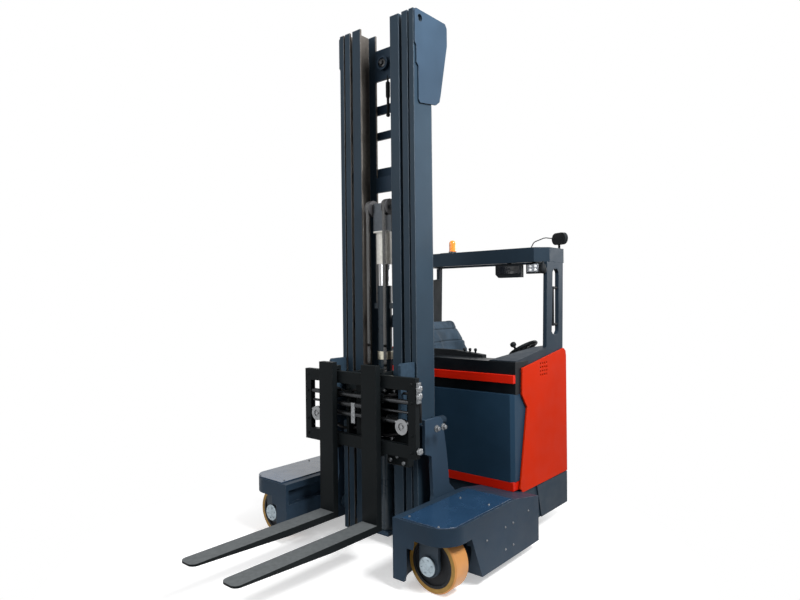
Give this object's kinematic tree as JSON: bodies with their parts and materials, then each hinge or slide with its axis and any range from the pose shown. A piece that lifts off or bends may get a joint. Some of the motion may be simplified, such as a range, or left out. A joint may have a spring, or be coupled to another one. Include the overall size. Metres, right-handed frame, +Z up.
{
  "type": "four-way reach truck",
  "caption": "Electric four-way reach truck: triplex mast on a reach carriage between steered outrigger wheels, side-seated cab and overhead guard.",
  "frame": {"origin": "centre of the footprint of the parked truck, on the floor", "axes": "+Z up along the mast, +X to the right-hand outrigger in the picture, -Y towards the fork tips"},
  "size_m": [1.79, 2.672, 3.6279],
  "materials": {
    "slate": "satin",
    "slate_dark": "satin",
    "red": "gloss",
    "battery": "satin",
    "black": "satin",
    "plastic": "matte",
    "seat": "matte",
    "amber": "gloss",
    "tyre": "satin",
    "hub": "satin",
    "steel": "satin",
    "chrome": "polished",
    "chain": "satin"
  },
  "bodies": {
    "chassis": {"chassis_base": "slate_dark", "leg_right": "slate", "leg_left": "slate", "leg_covers": "slate", "body_panels": "red", "battery": "battery", "front_rails": "red", "deck_hood": "slate_dark", "dash": "plastic", "seat_base": "plastic", "seat_cushion": "seat", "seat_back": "seat", "armrest": "plastic", "guard_posts": "slate_dark", "guard_roof": "slate_dark", "beacon": "amber", "work_light": "plastic", "monitor": "plastic", "mirror": "plastic", "grab_handles": "plastic", "cab_walls": "plastic", "reach_barrels": "black"},
    "drive_turntable": {"drive_unit": "hub"},
    "drive_wheel": {"drive_tyre": "tyre", "drive_hub": "hub"},
    "wheel_fork_right": {"knuckle_right": "steel"},
    "load_wheel_right": {"load_tyre_right": "tyre", "load_hub_right": "hub"},
    "wheel_fork_left": {"knuckle_left": "steel"},
    "load_wheel_left": {"load_tyre_left": "tyre", "load_hub_left": "hub"},
    "reach_carriage": {"reach_frame": "slate", "reach_rollers": "steel", "reach_rods": "chrome"},
    "mast_outer": {"outer_rails": "slate", "outer_bars": "slate", "mast_guards": "slate", "raise_barrels": "slate_dark", "tilt_barrels": "slate_dark"},
    "mast_middle": {"middle_rails": "slate", "middle_bars": "slate", "raise_rods": "chrome"},
    "mast_inner": {"inner_rails": "slate", "inner_bars": "slate", "free_barrel": "slate_dark"},
    "free_lift": {"free_rod": "chrome", "free_sheaves": "steel", "lift_chains": "chain"},
    "fork_carriage": {"carriage_frame": "black", "carriage_plates": "black", "carriage_shafts": "chrome", "carriage_rollers": "steel"},
    "fork_r": {"fork_right": "black"},
    "fork_l": {"fork_left": "black"},
    "hand_wheel": {"steering_wheel": "plastic"}
  },
  "joints": [
    {"name": "drive_steer", "type": "hinge", "parent": "chassis", "child": "drive_turntable", "pos_m": [0, 1.029, 0.36], "axis": [0, 0, 1], "range_deg": [-100, 100]},
    {"name": "drive_spin", "type": "hinge", "parent": "drive_turntable", "child": "drive_wheel", "pos_m": [0, 1.029, 0.1715], "axis": [0, 1, 0], "continuous": true},
    {"name": "load_steer_right", "type": "hinge", "parent": "chassis", "child": "wheel_fork_right", "pos_m": [0.71, -0.271, 0.36], "axis": [0, 0, 1], "range_deg": [-100, 10]},
    {"name": "load_spin_right", "type": "hinge", "parent": "wheel_fork_right", "child": "load_wheel_right", "pos_m": [0.71, -0.271, 0.1715], "axis": [0, 1, 0], "continuous": true},
    {"name": "load_steer_left", "type": "hinge", "parent": "chassis", "child": "wheel_fork_left", "pos_m": [-0.71, -0.271, 0.36], "axis": [0, 0, 1], "range_deg": [-10, 100]},
    {"name": "load_spin_left", "type": "hinge", "parent": "wheel_fork_left", "child": "load_wheel_left", "pos_m": [-0.71, -0.271, 0.1715], "axis": [0, 1, 0], "continuous": true},
    {"name": "reach", "type": "slide", "parent": "chassis", "child": "reach_carriage", "axis": [0, -1, 0], "range_m": [-0.17, 0.38]},
    {"name": "mast_tilt", "type": "hinge", "parent": "reach_carriage", "child": "mast_outer", "pos_m": [0, 0.091, 0.2], "axis": [1, 0, 0], "range_deg": [-3, 2]},
    {"name": "mast_raise", "type": "slide", "parent": "mast_outer", "child": "mast_middle", "axis": [0, 0, 1], "range_m": [0, 2.1]},
    {"name": "inner_raise", "type": "slide", "parent": "mast_middle", "child": "mast_inner", "axis": [0, 0, 1], "range_m": [0, 2.1]},
    {"name": "fork_lift", "type": "slide", "parent": "mast_inner", "child": "fork_carriage", "axis": [0, 0, 1], "range_m": [-0.165, 2], "deforming": ["lift_chains"]},
    {"name": "free_lift_rod", "type": "slide", "parent": "mast_inner", "child": "free_lift", "axis": [0, 0, 1], "range_m": [-0.0825, 1]},
    {"name": "fork_right_shift", "type": "slide", "parent": "fork_carriage", "child": "fork_r", "axis": [1, 0, 0], "range_m": [-0.08, 0.23]},
    {"name": "fork_left_shift", "type": "slide", "parent": "fork_carriage", "child": "fork_l", "axis": [-1, 0, 0], "range_m": [-0.165, 0.15]},
    {"name": "hand_wheel_turn", "type": "hinge", "parent": "chassis", "child": "hand_wheel", "pos_m": [0.5197, 1.169, 1.25042], "axis": [-0.5171, 0, 0.8559], "continuous": true}
  ],
  "couplings": [
    {"joint": "inner_raise", "follows": "mast_raise", "ratio": 1},
    {"joint": "free_lift_rod", "follows": "fork_lift", "ratio": 0.5}
  ]
}
